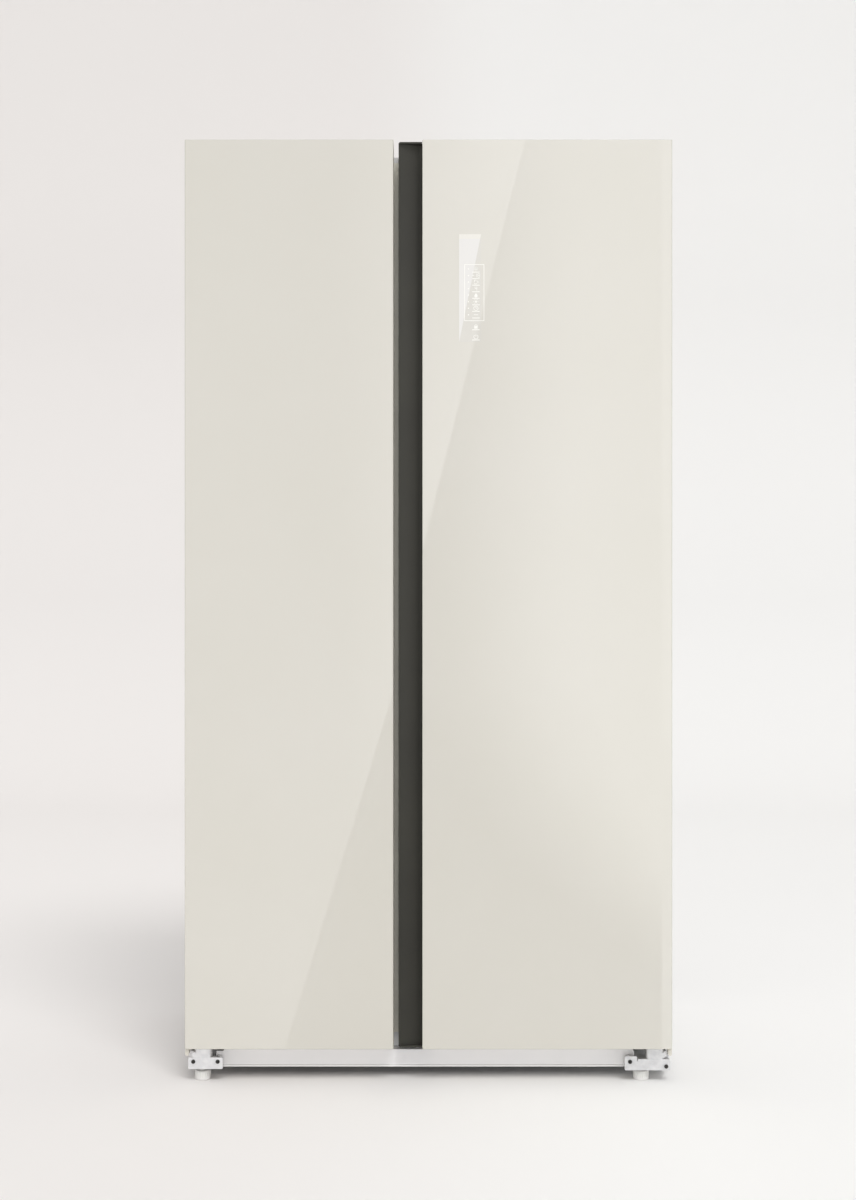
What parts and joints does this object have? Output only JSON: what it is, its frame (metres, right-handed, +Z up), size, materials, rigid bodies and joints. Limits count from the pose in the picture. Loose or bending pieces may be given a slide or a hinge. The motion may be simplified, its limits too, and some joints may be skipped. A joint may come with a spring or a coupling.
{
  "type": "side by side refrigerator",
  "caption": "Free-standing side by side refrigerator with cream glass doors, a dark full-height grip channel, shelves, drawers and door bins inside.",
  "frame": {"origin": "on the floor, under the middle of the whole refrigerator's box", "axes": "+Z up, the doors face -Y, +X to the right as seen from the front"},
  "size_m": [0.91, 0.66, 1.76],
  "materials": {
    "cream_glass": "gloss",
    "door_trim": "satin",
    "dark_trim": "satin",
    "casing_paint": "satin",
    "post_strip": "satin",
    "galvanised_steel": "satin",
    "hinge_steel": "satin",
    "dark_steel": "satin",
    "white_moulding": "gloss",
    "cover_plastic": "satin",
    "clear_plastic": "gloss",
    "shelf_glass": "gloss",
    "lamp_diffuser": "satin",
    "seal_rubber": "matte",
    "insulation": "matte",
    "machine_paint": "satin",
    "coil_aluminium": "satin",
    "black_plastic": "matte"
  },
  "bodies": {
    "cabinet": {"left_side_panel": "casing_paint", "right_side_panel": "casing_paint", "top_panel": "casing_paint", "back_panel": "galvanised_steel", "base_tray": "galvanised_steel", "cabinet_foam": "insulation", "freezer_liner": "white_moulding", "fridge_liner": "white_moulding", "mullion_cover": "post_strip", "plinth_beam": "casing_paint", "hinge_screws": "dark_steel", "compressor": "machine_paint", "condenser": "coil_aluminium", "fan_shroud": "black_plastic", "drain_pan": "black_plastic", "machine_room_cover": "galvanised_steel", "cord_gland": "black_plastic", "evaporator": "coil_aluminium", "freezer_duct_panel": "white_moulding", "fridge_duct_panel": "white_moulding", "damper_frame": "black_plastic", "lamp_lenses": "lamp_diffuser", "shelf_panes": "shelf_glass", "shelf_trims": "white_moulding", "freezer_lower_hinge": "hinge_steel", "fridge_lower_hinge": "hinge_steel", "freezer_upper_hinge": "hinge_steel", "fridge_upper_hinge": "hinge_steel", "freezer_hinge_cover": "cover_plastic", "fridge_hinge_cover": "cover_plastic"},
    "freezer_door": {"freezer_door_glass": "cream_glass", "freezer_hinge_profile": "door_trim", "freezer_grip_profile": "door_trim", "freezer_top_cap": "door_trim", "freezer_bottom_cap": "door_trim", "freezer_door_foam": "insulation", "freezer_door_liner": "white_moulding", "freezer_door_gasket": "seal_rubber", "freezer_door_bins": "clear_plastic"},
    "fridge_door": {"fridge_door_glass": "cream_glass", "fridge_hinge_profile": "door_trim", "fridge_grip_channel": "dark_trim", "fridge_top_cap": "door_trim", "fridge_bottom_cap": "door_trim", "fridge_door_foam": "insulation", "fridge_door_liner": "white_moulding", "fridge_door_gasket": "seal_rubber", "fridge_door_bins": "clear_plastic", "control_module": "black_plastic"},
    "condenser_fan": {"condenser_fan": "black_plastic"},
    "evaporator_fan": {"evaporator_fan": "black_plastic"},
    "damper_flap": {"damper_flap": "black_plastic"},
    "left_foot": {"left_foot": "cover_plastic"},
    "right_foot": {"right_foot": "cover_plastic"},
    "left_roller": {"left_roller": "black_plastic"},
    "right_roller": {"right_roller": "black_plastic"},
    "freezer_lower_drawer": {"freezer_lower_drawer": "clear_plastic"},
    "freezer_upper_drawer": {"freezer_upper_drawer": "clear_plastic"},
    "fridge_lower_drawer": {"fridge_lower_drawer": "clear_plastic"},
    "fridge_upper_drawer": {"fridge_upper_drawer": "clear_plastic"}
  },
  "joints": [
    {"name": "freezer_door_swing", "type": "hinge", "parent": "cabinet", "child": "freezer_door", "pos_m": [-0.424, -0.298, 0.911], "axis": [0, 0, -1], "range_deg": [0, 110]},
    {"name": "fridge_door_swing", "type": "hinge", "parent": "cabinet", "child": "fridge_door", "pos_m": [0.424, -0.298, 0.911], "axis": [0, 0, 1], "range_deg": [0, 110]},
    {"name": "freezer_lower_drawer_slide", "type": "slide", "parent": "cabinet", "child": "freezer_lower_drawer", "axis": [0, -1, 0], "range_m": [0, 0.09]},
    {"name": "freezer_upper_drawer_slide", "type": "slide", "parent": "cabinet", "child": "freezer_upper_drawer", "axis": [0, -1, 0], "range_m": [0, 0.09]},
    {"name": "fridge_lower_drawer_slide", "type": "slide", "parent": "cabinet", "child": "fridge_lower_drawer", "axis": [0, -1, 0], "range_m": [0, 0.09]},
    {"name": "fridge_upper_drawer_slide", "type": "slide", "parent": "cabinet", "child": "fridge_upper_drawer", "axis": [0, -1, 0], "range_m": [0, 0.09]},
    {"name": "condenser_fan_spin", "type": "hinge", "parent": "cabinet", "child": "condenser_fan", "pos_m": [0.08, 0.2, 0.112], "axis": [1, 0, 0], "continuous": true},
    {"name": "evaporator_fan_spin", "type": "hinge", "parent": "cabinet", "child": "evaporator_fan", "pos_m": [-0.24288, 0.214, 0.71], "axis": [0, 1, 0], "continuous": true},
    {"name": "damper_turn", "type": "hinge", "parent": "cabinet", "child": "damper_flap", "pos_m": [-0.06075, 0.22, 1.575], "axis": [0, 1, 0], "range_deg": [0, 80]},
    {"name": "left_foot_turn", "type": "hinge", "parent": "cabinet", "child": "left_foot", "pos_m": [-0.4246, -0.298, 0.009], "axis": [0, 0, 1], "continuous": true},
    {"name": "right_foot_turn", "type": "hinge", "parent": "cabinet", "child": "right_foot", "pos_m": [0.3999, -0.298, 0.009], "axis": [0, 0, 1], "continuous": true},
    {"name": "left_roller_roll", "type": "hinge", "parent": "cabinet", "child": "left_roller", "pos_m": [-0.385, 0.25, 0.02], "axis": [1, 0, 0], "continuous": true},
    {"name": "right_roller_roll", "type": "hinge", "parent": "cabinet", "child": "right_roller", "pos_m": [0.385, 0.25, 0.02], "axis": [1, 0, 0], "continuous": true}
  ]
}
